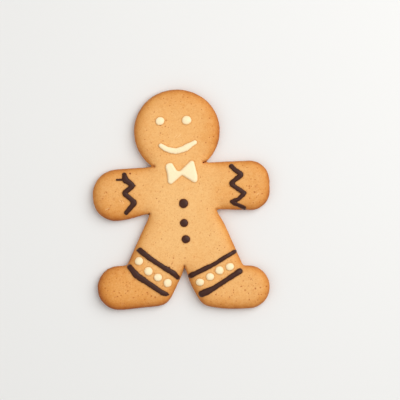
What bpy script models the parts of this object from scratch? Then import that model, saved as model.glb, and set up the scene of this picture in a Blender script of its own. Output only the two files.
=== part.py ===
# Gingerbread man biscuit, lying flat on its back and decorated with piped icing.
#
# The biscuit is one baked slab in the shape of a little man. The white icing is its eyes, its smile,
# its bow tie and the dots on its legs. The dark icing is its three buttons, a zigzag on each arm and
# two bands on each leg. It is piped by hand, so no two strokes or dots are quite alike.
#
# Metres, +Z up. The origin lies under the middle of the biscuit, on the surface that it rests on.
# +Y points to the head. Left and right are as seen from above, with the head at the top.
# Places and sizes in tuples are millimetres, and are multiplied by MM where they are used.

from math import cos, pi, radians, sin, sqrt, tan

import bmesh
import bpy
from mathutils import Vector
from mathutils.bvhtree import BVHTree

MM = 0.001

# The whole biscuit. The head is a circle from one side of the neck to the other, with waves as (turns,
# share of the radius, phase). Neighbouring arcs of an outline may use this share of the edge between
# them, and no arc turns further than the step from one of its points to the next.
THICKNESS = 7.4 * MM
HEAD_RADIUS = 23.02 * MM
HEAD_CENTRE = Vector((-0.75, 37.2)) * MM
HEAD_FROM, HEAD_TO = radians(-44), radians(228)
HEAD_WAVES = ((2, 0.008, -0.4), (3, 0.005, 0.5 - pi / 2))
OUTLINE_SPACING = 3.0 * MM
ARC_SHARE = 0.98
ARC_STEP = radians(24)

# The baked edge. Each ring of points lies a share of the rim's width in from the outline, at a share
# of the thickness. The side is upright between the two middle heights.
RIM_WIDTH = 6.4 * MM
SIDE = (0.24, 0.43)
LOWER_EDGE = ((0.04, 0.09), (0.16, 0.0))
UPPER_EDGE = ((0.08, 0.63), (0.25, 0.80), (0.47, 0.91), (0.74, 0.975), (1.0, 1.0))

# The icing. A stroke's height and the place where its end starts to round off are shares of half its
# width, and the length that a stroke runs on past its first and last knot is a share of its width.
ICING_GAP = 0.3 * MM
STROKE_PROFILE = (
    (-1.0, 0.0), (-0.93, 0.36), (-0.6, 0.68), (0.0, 0.8), (0.6, 0.68), (0.93, 0.36), (1.0, 0.0),
)
STROKE_SPACING = 1.3 * MM
STROKE_ENDS = (0.03, 0.16, 0.45, 1.0)
STROKE_OVERRUN = 0.375
SMILE_BEND = 6.0 * MM
ZIGZAG_BEND = 1.3 * MM
BAND_BEND = 8.0 * MM
FLICK_LIFT = 0.05 * MM
DOME_PROFILE = ((0.0, 1.0), (0.42, 0.93), (0.76, 0.68), (0.95, 0.34), (1.0, 0.0), (0.0, 0.0))
DOME_SIDES = 16
DOT_HEIGHT = 0.95 * MM
BOW_THICKNESS = 1.0 * MM
BOW_RIM = 0.8 * MM
BOW_SPACING = 1.2 * MM

CRUST_COLOUR = (0.83, 0.47, 0.19)
WHITE_COLOUR = (1.0, 0.86, 0.56)
DARK_COLOUR = (0.060, 0.024, 0.018)


def clear_scene():
    for obj in list(bpy.data.objects):
        bpy.data.objects.remove(obj, do_unlink=True)


def new_collection(name):
    made = bpy.data.collections.new(name)
    bpy.context.scene.collection.children.link(made)
    return made


def material(name, colour, roughness):
    made = bpy.data.materials.new(name)
    made.use_nodes = True
    shader = made.node_tree.nodes["Principled BSDF"]
    shader.inputs["Base Color"].default_value = (*colour, 1.0)
    shader.inputs["Roughness"].default_value = roughness
    shader.inputs["Metallic"].default_value = 0.0
    return made


def hidden(obj):
    """Marks a helper, which isn't a piece of the biscuit."""
    obj.hide_render = True
    obj.display_type = "WIRE"
    return obj


def add_object(name, data, finish, collection):
    obj = bpy.data.objects.new(name, data)
    collection.objects.link(obj)
    if finish:
        data.materials.append(finish)
    return obj


# Outlines and paths


def turned(vector, angle):
    x = vector.x * cos(angle) - vector.y * sin(angle)
    y = vector.x * sin(angle) + vector.y * cos(angle)
    return Vector((x, y))


def corner_arcs(places, radii, spacing):
    """For each corner of a closed outline, the points of the arc that rounds it off.

    Where two neighbouring arcs would meet, both get smaller. A radius of nothing leaves the corner.
    """
    count = len(places)
    edges = [places[(i + 1) % count] - place for i, place in enumerate(places)]
    half_angles = [(-edges[i - 1]).angle(edges[i]) / 2 for i in range(count)]
    wanted = [radius / tan(half_angle) if radius else 0 for radius, half_angle in zip(radii, half_angles)]
    arcs = []
    for i, (place, half_angle, reach) in enumerate(zip(places, half_angles, wanted)):
        if reach == 0:
            arcs.append([place])
            continue
        room_before = edges[i - 1].length / (wanted[i - 1] + reach)
        room_after = edges[i].length / (wanted[(i + 1) % count] + reach)
        reach *= min(1, ARC_SHARE * room_before, ARC_SHARE * room_after)
        radius = reach * tan(half_angle)
        back = -edges[i - 1].normalized()
        to_centre = (back + edges[i].normalized()).normalized() * (radius / sin(half_angle))
        start = back * reach - to_centre
        turn = pi - 2 * half_angle
        if edges[i - 1].cross(edges[i]) < 0:
            turn = -turn
        steps = max(2, round(radius * abs(turn) / spacing), round(abs(turn) / ARC_STEP))
        arcs.append([place + to_centre + turned(start, turn * j / steps) for j in range(steps + 1)])
    return arcs


def between(start, end, spacing):
    """Points from one to the other, evenly spaced, without the two themselves."""
    steps = max(1, round((end - start).length / spacing))
    return [start.lerp(end, i / steps) for i in range(1, steps)]


def rounded_outline(corners, spacing):
    """A closed outline through (x, y, radius) corners, each rounded to its radius.

    Where two arcs nearly meet, one point stands for the ends of both, so that no edge is very short.
    """
    places = [Vector((x, y)) * MM for x, y, radius in corners]
    arcs = corner_arcs(places, [radius * MM for x, y, radius in corners], spacing)
    points = []
    for i, arc in enumerate(arcs):
        following = arcs[(i + 1) % len(arcs)]
        if len(following) > 1 and (following[0] - arc[-1]).length < spacing / 2:
            following[0] = arc.pop().lerp(following[0], 0.5)
        points += arc + between(arc[-1], following[0], spacing)
    return points


def head_corners():
    """The head from the right of the neck round to its left: a hand-cut circle, a little uneven."""
    steps = round((HEAD_TO - HEAD_FROM) * HEAD_RADIUS / OUTLINE_SPACING)
    corners = []
    for i in range(steps + 1):
        angle = HEAD_FROM + (HEAD_TO - HEAD_FROM) * i / steps
        wave = sum(share * cos(turns * angle + phase) for turns, share, phase in HEAD_WAVES)
        radius = HEAD_RADIUS * (1 + wave)
        place = (HEAD_CENTRE + turned(Vector((radius, 0)), angle)) / MM
        corners.append((place.x, place.y, 0))
    return corners


def biscuit_corners():
    """The man's outline, from the right of his neck over his head and on round his left side."""
    left_of_neck = [(-12.4, 18.9, 0.25)]
    left_arm = [(-30.0, 18.7, 60.0), (-47.8, 18.1, 13.2), (-47.7, -10.2, 12.2), (-30.0, -8.8, 40.0)]
    left_armpit = [(-17.3, -5.9, 0.3)]
    left_hip = [(-31.3, -33.4, 0.8)]
    left_foot = [(-47.9, -33.2, 12.0), (-47.8, -57.7, 12.0), (-10.6, -55.9, 8.5)]
    left_leg = [(-1.7, -39.6, 12.0)]
    crotch = [(-0.45, -34.6, 0.2)]
    right_leg = [(2.6, -46.2, 30.0), (8.4, -57.2, 8.0), (21.0, -59.6, 40.0)]
    right_foot = [(44.9, -60.2, 11.6), (45.0, -36.4, 11.5)]
    right_hip = [(31.2, -36.7, 0.8)]
    right_side = [(22.3, -13.5, 25.0)]
    right_armpit = [(17.9, -5.5, 0.3)]
    right_arm = [(47.3, -8.0, 10.2), (48.1, 19.7, 10.8)]
    right_of_neck = [(11.7, 19.7, 0.2)]
    left_half = left_of_neck + left_arm + left_armpit + left_hip + left_foot + left_leg
    right_half = right_leg + right_foot + right_hip + right_side + right_armpit + right_arm
    return head_corners() + left_half + crotch + right_half + right_of_neck


# Solids


def pillow(name, outline, rim, thickness):
    """A slab whose outline is its widest, with edges that round off over the rim's width."""
    shape = bmesh.new()
    ring = [shape.verts.new((x, y, thickness * SIDE[0])) for x, y in outline]
    bottom = shape.faces.new(ring)
    raised = bmesh.ops.extrude_edge_only(shape, edges=bottom.edges[:])["geom"]
    upper_ring = [part for part in raised if isinstance(part, bmesh.types.BMVert)]
    upper_edges = [part for part in raised if isinstance(part, bmesh.types.BMEdge)]
    bmesh.ops.translate(shape, verts=upper_ring, vec=(0, 0, thickness * (SIDE[1] - SIDE[0])))
    upper_edges = [edge for edge in upper_edges if all(vert in upper_ring for vert in edge.verts)]
    top = bmesh.ops.edgeloop_fill(shape, edges=upper_edges)["faces"][0]
    bmesh.ops.recalc_face_normals(shape, faces=shape.faces[:])
    for face, first_height, edge in ((bottom, SIDE[0], LOWER_EDGE), (top, SIDE[1], UPPER_EDGE)):
        inset_before = 0
        height_before = first_height
        for inset, height in edge:
            bmesh.ops.inset_region(
                shape,
                faces=[face],
                thickness=rim * (inset - inset_before),
                depth=thickness * abs(height - height_before),
                use_even_offset=True,
            )
            inset_before = inset
            height_before = height
    bmesh.ops.triangulate(shape, faces=[bottom, top])
    mesh = bpy.data.meshes.new(name)
    shape.to_mesh(mesh)
    shape.free()
    return mesh


def make_biscuit(finish, collection):
    outline = rounded_outline(biscuit_corners(), OUTLINE_SPACING)
    mesh = pillow("biscuit", outline, RIM_WIDTH, THICKNESS)
    return add_object("biscuit", mesh, finish, collection)


class Top:
    """The biscuit's upper surface, which tells how high the icing lies at a place."""

    def __init__(self, biscuit):
        shape = bmesh.new()
        shape.from_mesh(biscuit.data)
        self.tree = BVHTree.FromBMesh(shape)
        shape.free()

    def height(self, place):
        above = Vector((place.x, place.y, 2 * THICKNESS))
        hit = self.tree.ray_cast(above, Vector((0, 0, -1)))[0]
        return hit.z if hit else 0.0

    def clear_height(self, place, reach):
        """The height at which something that reaches this far round the place clears the surface."""
        round_about = [place + turned(Vector((reach, 0)), radians(angle)) for angle in range(0, 360, 45)]
        return max(self.height(spot) for spot in [place, *round_about]) + ICING_GAP


def stroke_path(knots, bend):
    """Points and widths along a stroke through (x, y, width) knots, its turns rounded to this radius.

    The first and last knots are the centres of the stroke's round ends, so it runs on past them.
    """
    places = [Vector(knot[:2]) * MM for knot in knots]
    widths = [knot[2] * MM for knot in knots]
    places[0] += (places[0] - places[1]).normalized() * STROKE_OVERRUN * widths[0]
    places[-1] += (places[-1] - places[-2]).normalized() * STROKE_OVERRUN * widths[-1]
    radii = [0] + [bend] * (len(places) - 2) + [0]
    arcs = corner_arcs(places, radii, STROKE_SPACING / 2)
    return [(point, width) for arc, width in zip(arcs, widths) for point in arc]


def read_path(path, distance):
    """The place and width at a distance along a path."""
    for (start, start_width), (end, end_width) in zip(path, path[1:]):
        length = (end - start).length
        if distance <= length:
            share = distance / length if length else 0
            return start.lerp(end, share), start_width + (end_width - start_width) * share
        distance -= length
    return path[-1]


def stroke_stations(path):
    """Distances along a path at which the stroke gets a cross-section, closer together at its ends."""
    length = sum((end[0] - start[0]).length for start, end in zip(path, path[1:]))
    first = [share * path[0][1] / 2 for share in STROKE_ENDS]
    last = [length - share * path[-1][1] / 2 for share in STROKE_ENDS]
    steps = max(1, round((last[-1] - first[-1]) / STROKE_SPACING))
    middle = [first[-1] + (last[-1] - first[-1]) * i / steps for i in range(1, steps)]
    return first, middle, last[::-1]


def stroke_profile(collection):
    """The outline of a stroke's cross-section, flat below and rounded above, half a stroke wide."""
    data = bpy.data.curves.new("stroke_profile", "CURVE")
    data.dimensions = "2D"
    spline = data.splines.new("POLY")
    spline.points.add(len(STROKE_PROFILE) - 1)
    for point, (x, y) in zip(spline.points, STROKE_PROFILE):
        point.co = (x, y, 0, 1)
    spline.use_cyclic_u = True
    return hidden(add_object("stroke_profile", data, None, collection))


def make_stroke(name, knots, bend, top, profile, finish, collection):
    """A line of piped icing that lies along the biscuit's top."""
    path = stroke_path(knots, bend)
    first, middle, last = stroke_stations(path)
    roundings = [sqrt(1 - (1 - share) ** 2) for share in STROKE_ENDS]
    shares = roundings + [1.0] * len(middle) + roundings[::-1]
    data = bpy.data.curves.new(name, "CURVE")
    data.dimensions = "3D"
    data.twist_mode = "Z_UP"
    data.bevel_mode = "OBJECT"
    data.bevel_object = profile
    data.use_fill_caps = True
    spline = data.splines.new("POLY")
    spline.points.add(len(shares) - 1)
    for point, distance, share in zip(spline.points, first + middle + last, shares):
        place, width = read_path(path, distance)
        half_width = share * width / 2
        point.co = (place.x, place.y, top.clear_height(place, half_width), 1)
        point.radius = half_width
    return add_object(name, data, finish, collection)


def as_mesh(obj):
    """The curve object made a mesh, with its end caps joined to its sides."""
    name = obj.name
    graph = bpy.context.evaluated_depsgraph_get()
    mesh = bpy.data.meshes.new_from_object(obj.evaluated_get(graph), depsgraph=graph)
    shape = bmesh.new()
    shape.from_mesh(mesh)
    bmesh.ops.remove_doubles(shape, verts=shape.verts[:], dist=0.001 * MM)
    bmesh.ops.recalc_face_normals(shape, faces=shape.faces[:])
    shape.to_mesh(mesh)
    shape.free()
    made = bpy.data.objects.new(name, mesh)
    made.matrix_world = obj.matrix_world
    obj.users_collection[0].objects.link(made)
    bpy.data.objects.remove(obj)
    made.name = name
    return made


def dome_mesh(name):
    """The profile of a dome of unit radius and height, from its crown down to the middle of its base."""
    mesh = bpy.data.meshes.new(name)
    points = [(x, 0, z) for x, z in DOME_PROFILE]
    mesh.from_pydata(points, [(i, i + 1) for i in range(len(points) - 1)], [])
    return mesh


def make_dot(name, place, size, turn, top, finish, collection):
    """A drop of icing, this long and wide and turned by this many degrees."""
    dot = add_object(name, dome_mesh(name), finish, collection)
    screw = dot.modifiers.new("round", "SCREW")
    screw.steps = DOME_SIDES
    screw.render_steps = DOME_SIDES
    screw.use_merge_vertices = True
    screw.merge_threshold = 0.0001
    length, width = size
    centre = Vector(place) * MM
    dot.location = (centre.x, centre.y, top.clear_height(centre, max(size) / 2 * MM))
    dot.rotation_euler.z = radians(turn)
    dot.scale = (length / 2 * MM, width / 2 * MM, DOT_HEIGHT)
    return dot


def make_bow_tie(top, finish, collection):
    corners = [
        (-6.9, 7.5, 1.6), (0.9, 13.75, 0.9), (8.9, 7.9, 1.6), (9.2, 12.9, 4.0), (7.3, 22.4, 1.4),
        (-1.2, 15.0, 1.6), (-4.2, 20.6, 1.4), (-8.4, 20.4, 2.2), (-7.1, 15.0, 6.0),
    ]
    mesh = pillow("bow_tie", rounded_outline(corners, BOW_SPACING), BOW_RIM, BOW_THICKNESS)
    bow_tie = add_object("bow_tie", mesh, finish, collection)
    middle = Vector((0.7, 15.0)) * MM
    bow_tie.location.z = top.clear_height(middle, 0)
    return bow_tie


# The decorations, as (x, y, width) knots for a stroke and ((x, y), (length, width), turn) for a dot


def make_face(top, profile, white, collection):
    smile = [
        (-10.2, 30.7, 2.0), (-7.3, 28.4, 2.6), (-3.0, 26.9, 3.0),
        (1.0, 27.1, 2.8), (5.5, 29.0, 2.8), (9.3, 31.0, 2.2),
    ]
    make_stroke("smile", smile, SMILE_BEND, top, profile, white, collection)
    make_dot("eye_left", (-9.5, 43.5), (4.5, 4.1), 20, top, white, collection)
    make_dot("eye_right", (5.0, 43.3), (5.1, 4.6), 0, top, white, collection)


def make_buttons(top, dark, collection):
    buttons = [
        ((0.9, -1.6), (5.0, 5.1), 0),
        ((0.6, -12.1), (4.5, 4.4), 0),
        ((1.1, -20.8), (4.6, 4.3), -10),
    ]
    for i, (place, size, turn) in enumerate(buttons):
        make_dot(f"button_{i + 1}", place, size, turn, top, dark, collection)


def make_left_arm(top, profile, dark, collection, helpers):
    """A zigzag with a stray flick of icing across its first stroke, where the nozzle was set down."""
    knots = [
        (-30.3, 15.6, 1.9), (-29.5, 12.6, 2.9), (-24.9, 9.1, 2.3), (-31.3, 5.5, 2.4),
        (-27.2, 2.5, 2.0), (-24.9, 0.1, 2.9), (-30.0, -5.1, 2.2),
    ]
    flick = [(-34.6, 13.1, 0.8), (-30.0, 12.8, 0.9)]
    zigzag = as_mesh(make_stroke("zigzag_left", knots, ZIGZAG_BEND, top, profile, dark, collection))
    flick = hidden(as_mesh(make_stroke("flick", flick, ZIGZAG_BEND, top, profile, dark, helpers)))
    flick.location.z = FLICK_LIFT
    union = zigzag.modifiers.new("flick", "BOOLEAN")
    union.operation = "UNION"
    union.object = flick


def make_right_arm(top, profile, dark, collection):
    knots = [
        (27.7, 17.3, 2.3), (29.7, 14.9, 2.1), (33.2, 12.3, 2.9), (26.1, 7.5, 2.4),
        (34.3, 2.1, 2.8), (30.3, -0.2, 1.9), (25.9, -2.2, 2.6), (31.1, -4.5, 1.9), (33.8, -5.7, 2.0),
    ]
    make_stroke("zigzag_right", knots, ZIGZAG_BEND, top, profile, dark, collection)


def make_bands(top, profile, dark, collection):
    bands = {
        "band_left_upper": [
            (-24.2, -25.2, 2.6), (-18.9, -30.4, 2.3), (-11.5, -35.2, 2.2),
            (-6.0, -39.4, 2.3), (-4.3, -41.1, 1.9),
        ],
        "band_left_lower": [
            (-29.8, -33.8, 2.2), (-26.7, -39.0, 2.7), (-19.7, -44.2, 2.3),
            (-14.0, -48.4, 2.3), (-10.7, -50.0, 2.1),
        ],
        "band_right_upper": [
            (2.6, -41.1, 2.2), (7.8, -38.7, 2.1), (14.6, -35.3, 1.9),
            (21.6, -31.7, 1.9), (26.7, -29.2, 1.9),
        ],
        "band_right_lower": [
            (8.0, -50.8, 3.0), (14.6, -48.1, 2.5), (21.6, -44.1, 2.3), (29.3, -39.8, 2.7),
        ],
    }
    for name, knots in bands.items():
        make_stroke(name, knots, BAND_BEND, top, profile, dark, collection)


def make_leg_dots(top, white, collection):
    left_leg = [
        ((-24.7, -31.4), (4.6, 4.3), 40), ((-19.9, -37.0), (4.4, 4.4), 0),
        ((-14.9, -40.6), (4.2, 4.0), 0), ((-9.9, -43.9), (4.1, 4.2), 0),
    ]
    right_leg = [
        ((7.5, -44.4), (4.4, 3.7), 0), ((13.1, -41.7), (4.1, 3.8), 0),
        ((18.2, -38.5), (4.2, 4.2), 0), ((23.9, -36.8), (4.5, 4.0), 0),
    ]
    for side, dots in (("left", left_leg), ("right", right_leg)):
        for i, (place, size, turn) in enumerate(dots):
            make_dot(f"dot_{side}_{i + 1}", place, size, turn, top, white, collection)


def main():
    clear_scene()
    collection = new_collection("gingerbread_man")
    helpers = new_collection("helpers")
    helpers.hide_render = True
    crust = material("crust", CRUST_COLOUR, 0.85)
    white = material("white_icing", WHITE_COLOUR, 0.55)
    dark = material("dark_icing", DARK_COLOUR, 0.45)
    top = Top(make_biscuit(crust, collection))
    profile = stroke_profile(helpers)
    make_face(top, profile, white, collection)
    make_bow_tie(top, white, collection)
    make_buttons(top, dark, collection)
    make_left_arm(top, profile, dark, collection, helpers)
    make_right_arm(top, profile, dark, collection)
    make_bands(top, profile, dark, collection)
    make_leg_dots(top, white, collection)


main()
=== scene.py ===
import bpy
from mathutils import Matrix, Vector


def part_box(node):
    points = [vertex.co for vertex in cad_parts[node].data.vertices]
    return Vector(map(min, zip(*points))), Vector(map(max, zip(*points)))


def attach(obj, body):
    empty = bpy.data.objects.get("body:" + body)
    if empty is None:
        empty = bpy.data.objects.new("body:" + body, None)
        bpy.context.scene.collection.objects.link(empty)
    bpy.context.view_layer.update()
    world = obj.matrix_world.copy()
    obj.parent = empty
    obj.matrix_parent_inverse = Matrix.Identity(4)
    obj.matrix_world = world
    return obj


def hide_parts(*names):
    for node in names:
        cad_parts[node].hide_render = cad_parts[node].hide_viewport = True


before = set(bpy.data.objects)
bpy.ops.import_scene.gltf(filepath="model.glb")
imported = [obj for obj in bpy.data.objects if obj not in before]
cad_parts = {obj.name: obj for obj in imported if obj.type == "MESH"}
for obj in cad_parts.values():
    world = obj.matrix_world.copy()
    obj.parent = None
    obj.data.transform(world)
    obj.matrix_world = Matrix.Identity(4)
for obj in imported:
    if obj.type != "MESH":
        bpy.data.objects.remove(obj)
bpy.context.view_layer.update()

import math

import bmesh
import bpy
import numpy as np
from mathutils import Vector, noise
from mathutils.bvhtree import BVHTree
from mathutils.kdtree import KDTree


# The biscuit is one slab of gingerbread dough, rolled flat, cut out and baked on a tray.
# The oven rounds and darkens its edge, leaves small pores and a gentle swell in the dry golden
# top, and browns the underside. The slab carries all the icing.
MM = 0.001
WELD_GAP = 0.002 * MM
CRUST_CELL = 0.5 * MM
CRUST_SMOOTHING = 36
TABLE_GAP = 0.02 * MM

# The relief of the top, the edge and the underside: the size of its waves and their height.
SWELL_SIZE = 13 * MM
SWELL_HEIGHT = 0.17 * MM
DIMPLE_SIZE = 3.2 * MM
DIMPLE_HEIGHT = 0.05 * MM
EDGE_WAVE_SIZE = 4.0 * MM
EDGE_WAVE_DEPTH = 0.16 * MM
LONG_WAVE = 2.6
TRAY_PIT_SIZE = 2.4 * MM
TRAY_PIT_DEPTH = 0.35 * MM
TRAY_PIT_START = 0.18
SPREAD = 0.14 * MM

# The rim and its notches. The section gives the share of the rim's width that a place lies inside
# the outline, and the share of the slab's full height there.
RING_HEIGHT = 0.43
RIM_WIDTH = 6.4 * MM
RIM_PROFILE = ((0.0, 0.43), (0.08, 0.63), (0.25, 0.80), (0.47, 0.91), (0.74, 0.975), (1.0, 1.0))
RING_STEP = 0.25 * MM
RING_SLOPE = 0.2 * MM
GRID = 0.5 * MM
GRID_MARGIN = 16 * MM
BELL_REACH = 3
NOTCH_BLUR = 2.6 * MM
NOTCH_ROUNDING = 1.3 * MM
NOTCH_FROM = 0.2 * MM
NOTCH_FULL = 1.4 * MM
NOTCH_STEPS = 60
OVEN_NEAR = 1.6 * MM
OVEN_FAR = 4.6 * MM
OVEN_MOST = 1.4
BROWNED_START = 0.35

# The small pores: few on the body, more towards the hands and feet, which lie this far out in mm.
PORE_SEED = 11
PORES_SCATTERED = 170
PORES_ON_BODY = 0.06
BODY_MIDDLE = 4
BODY_HEIGHT_SHARE = 0.8
PORES_FEW = 16
PORES_MANY = 42
HEAD_START = 18 * MM
HEAD_PORE_SHARE = 0.4
SMALL_PORE = 0.13
MIDDLE_PORE = 0.24
BIG_PORE = 0.5 * MM
BIG_PORE_DARKER = 0.5
PORE_SPREAD = 1.3
PORE_REACH = 1.1 * MM
PORE_RAGGED = 0.35
PORE_RAGGED_SIZE = 0.35 * MM
PORE_FLOOR = 0.35
PORE_DEPTH_SHARE = 0.5
PORE_DEEPEST = 0.2 * MM

# The finer faces round pores, slits and scratches.
FINE_SHARE = 1.2
FINE_MARGIN = 0.13 * MM
FINE_BESIDE = 0.4
FINE_CUTS = 3

# Slits and scratches. A slit is painted darker by this much for each mm of its depth, up to the most, partly
# brown crumbs and partly painted shade in the notch.
SLIT_CRUMB_AND_SHADE = 0.4
SLIT_CRUMB_AND_SHADE_MOST = 0.8
SLIT_FLOOR = 1.5 * MM
SCRATCH_FADE = 1.6

# How far up or down a place looks, as the upward part of its direction.
LEVEL_TOP = 0.9
TOP_FACE = 0.2
UPPER_SIDE = 0.3
JUST_UP = 0.1
SIDE = 0.5

# Middle of each pore, in mm, and how wide it is: the ones that stand out.
PORES = (
    (4.1, 56.8, 0.42), (-6.9, 55.4, 0.45), (3.6, 55.6, 0.47), (6, 55.2, 0.45), (7.9, 51.6, 0.35),
    (-2.7, 55.3, 0.35), (2.1, 53.1, 0.35), (13.1, 48.3, 0.4), (13.1, 43.5, 0.35), (17.2, 43.4, 0.49),
    (-9.6, 41.0, 0.6), (-6.2, 43.5, 0.45), (-18.3, 33.7, 0.38), (-16.9, 38.8, 0.4), (-9.6, 36.8, 0.49),
    (-8.4, 32.5, 0.51), (-5.1, 39.6, 0.35), (10.1, 33.6, 0.35), (16.5, 33.1, 0.4), (18.9, 33.4, 0.58),
    (-17.2, 28.2, 0.46), (-14.9, 31.8, 0.43), (-10.3, 24.6, 0.4), (14.5, 30.4, 0.5), (18.6, 39.2, 0.4),
    (-36.1, 16.5, 0.35), (33.7, 17.2, 0.4), (-39.4, 13.7, 0.35), (-27, 16, 0.85), (10, 8.5, 0.35),
    (10.7, 12.1, 0.43), (36.7, 11.8, 0.35), (37.7, 9.6, 0.45), (39.9, 9.2, 0.42), (41.6, 15.4, 0.35),
    (42.2, 11.1, 0.4), (-40.2, 6.6, 0.5), (-32.3, 1.4, 0.4), (-25.4, 5, 0.35), (-13.5, 1.8, 0.4),
    (-11.4, 5.2, 0.42), (-10, 7.8, 0.4), (19.3, 3.6, 0.35), (20, 4.7, 0.4), (27.4, 2, 0.4),
    (35.1, 6.1, 0.4), (36.6, 5.8, 0.62), (39.2, 2.5, 0.72), (43.3, 1.4, 0.62), (-39.5, -5.2, 0.38),
    (-39.4, -2.6, 0.6), (10.3, -0.8, 0.4), (13.5, -5.1, 0.4), (36.5, -0.7, 0.55), (38.3, -3.2, 0.5),
    (16.6, -13.5, 0.35), (-20.1, -17.8, 0.35), (-12, -20, 0.4), (13.9, -19.5, 0.4), (-6, -30.8, 0.45),
    (0.1, -30.9, 0.46), (5, -30.7, 0.35), (19, -25.2, 0.4), (-37.3, -39.9, 0.35), (-36.1, -35.4, 0.4),
    (-34.4, -39.2, 0.35), (-44, -41.8, 0.36), (-43.6, -44.9, 0.52), (-38.9, -46.8, 0.52),
    (-36.2, -47.8, 0.48), (-31.8, -42.3, 0.44), (-31.6, -47, 0.6), (-27.4, -47.4, 0.41),
    (-23, -46.2, 0.35), (30.9, -44.9, 0.35), (34.3, -42.1, 0.35), (35.2, -44, 0.4), (37.4, -46.6, 0.4),
    (-43.6, -51.4, 0.35), (-43.3, -48.4, 0.38), (-38.6, -50, 0.41), (-37.3, -49.8, 0.6),
    (-35.8, -53.3, 0.4), (-35.3, -49.2, 0.5), (-33.8, -53.5, 0.37), (-28.8, -50.8, 0.45),
    (-26.1, -50, 0.38), (-23.7, -49.4, 0.41), (-22.6, -52.1, 0.5), (-21.2, -48.4, 0.6),
    (-20.9, -54.3, 0.42), (-19.1, -50.6, 0.58), (-17, -51.2, 0.68), (12.8, -55.2, 0.45),
    (15.6, -51.5, 0.62), (20.6, -50.8, 0.42), (22.8, -53.1, 0.5), (25.2, -49.7, 0.45),
    (26.3, -55.5, 0.45), (31.4, -49.8, 0.62), (33.3, -51.7, 0.5), (33.5, -55.2, 0.5), (37, -49.3, 0.72),
    (38, -55.6, 0.5), (38.6, -52.5, 0.48), (39.7, -48.9, 0.58), (40.1, -52.6, 0.41), (42.2, -54.9, 0.45),
    (42.4, -52.5, 0.35), (43.1, -48.5, 0.58), (-33.6, -56.1, 0.4), (18, -56.9, 0.38),
    (25.4, -58.1, 0.35), (31.7, -56.8, 0.35),
)
# Slits where two limbs meet, and scratches in the top: both ends in mm, half the width, the depth. The slits
# are also painted dark, partly brown crumbs and partly painted shade in the notch.
SLITS = (
    (-15.6, 19.4, -13.4, 18.9, 0.2, 0.5), (15.0, 20.9, 12.4, 19.7, 0.34, 2.0),
    (-0.5, -37.3, -0.45, -35.7, 0.26, 0.9), (-19.6, -7.6, -17.7, -6.2, 0.3, 2.6),
)
SCRATCHES = (
    (1.2, 35.6, -0.5, 33.9, 0.2, 0.08), (-0.6, 35.6, -1.9, 34.2, 0.18, 0.06),
    (-41.2, -2.9, -39.3, -2.0, 0.25, 0.2), (-33.4, 1.9, -32.6, 0.9, 0.22, 0.15),
    (-31.9, 1.4, -31.2, 0.2, 0.22, 0.15), (40.6, 1.2, 41.6, 2.0, 0.22, 0.15),
)
# Where the top is painted browner or paler: middle and reach in mm, and by how much. Partly the oven's
# browning, deeper at the hands and feet; partly painted light and shade: a darker head, a paler body and a
# paler tip on the left hand, where the light fell unevenly and bounced.
BROWNING_AND_PAINTED_LIGHT = (
    (-43, -50, 18, 0.72), (-26, -57, 16, 0.62), (-49, 6, 9, -0.30), (-36, -4, 15, 0.52),
    (43, 4, 15, 0.36), (24, 4, 11, 0.22), (34, -52, 17, 0.12), (14, -57, 12, 0.18),
    (2, 52, 15, 0.20), (21, 36, 10, 0.34), (-8, 36, 16, -0.04),
    (0, 2, 17, -0.30), (0, -22, 18, -0.30), (-21, -18, 9, -0.30), (21, -18, 9, -0.30),
)


def paint(red, green, blue):
    """A colour as a screen shows it, 0 to 255, as the light that a node wants."""
    parts = [value / 255 for value in (red, green, blue)]
    return tuple(p / 12.92 if p <= 0.04045 else ((p + 0.055) / 1.055) ** 2.4 for p in parts) + (1.0,)


class Wire:
    """An output inside a node tree. Sums written with it add the Math nodes that work them out."""

    def __init__(self, tree, made=None, output=0):
        self.tree = tree
        self.made = made
        self.socket = made.outputs[output] if made is not None and len(made.outputs) else None

    def node(self, kind, settings=None, inputs=None):
        made = self.tree.nodes.new(kind)
        for name, value in (settings or {}).items():
            if name == "stops":
                ramp = made.color_ramp.elements
                while len(ramp) < len(value):
                    ramp.new(1.0)
                for stop, (place, colour) in zip(ramp, value):
                    stop.position = place
                    stop.color = colour
            else:
                setattr(made, name, value)
        for name, value in (inputs or {}).items():
            for given in value if isinstance(value, list) else [value]:
                if isinstance(given, Wire):
                    self.tree.links.new(given.socket, made.inputs[name])
                else:
                    made.inputs[name].default_value = given
        return Wire(self.tree, made)

    def out(self, output):
        return Wire(self.tree, self.made, output)

    def sum(self, operation, first, second=0.0, clamp=False):
        return self.node(
            "ShaderNodeMath", {"operation": operation, "use_clamp": clamp}, {0: first, 1: second}
        )

    def mix(self, share, first, second, blend="MIX"):
        return self.node(
            "ShaderNodeMix", {"data_type": "RGBA", "blend_type": blend}, {0: share, 6: first, 7: second}
        ).out(2)

    def clamp(self):
        return self.sum("ADD", self, 0.0, clamp=True)

    def __add__(self, other):
        return self.sum("ADD", self, other)

    __radd__ = __add__

    def __sub__(self, other):
        return self.sum("SUBTRACT", self, other)

    def __rsub__(self, other):
        return self.sum("SUBTRACT", other, self)

    def __mul__(self, other):
        return self.sum("MULTIPLY", self, other)

    __rmul__ = __mul__

    def __truediv__(self, other):
        return self.sum("DIVIDE", self, other)

    def __pow__(self, other):
        return self.sum("POWER", self, other)


def new_finish(name):
    """An empty material and the wire that its nodes grow from."""
    material = bpy.data.materials.new(name)
    material.use_nodes = True
    material.node_tree.nodes.clear()
    return material, Wire(material.node_tree)


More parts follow.
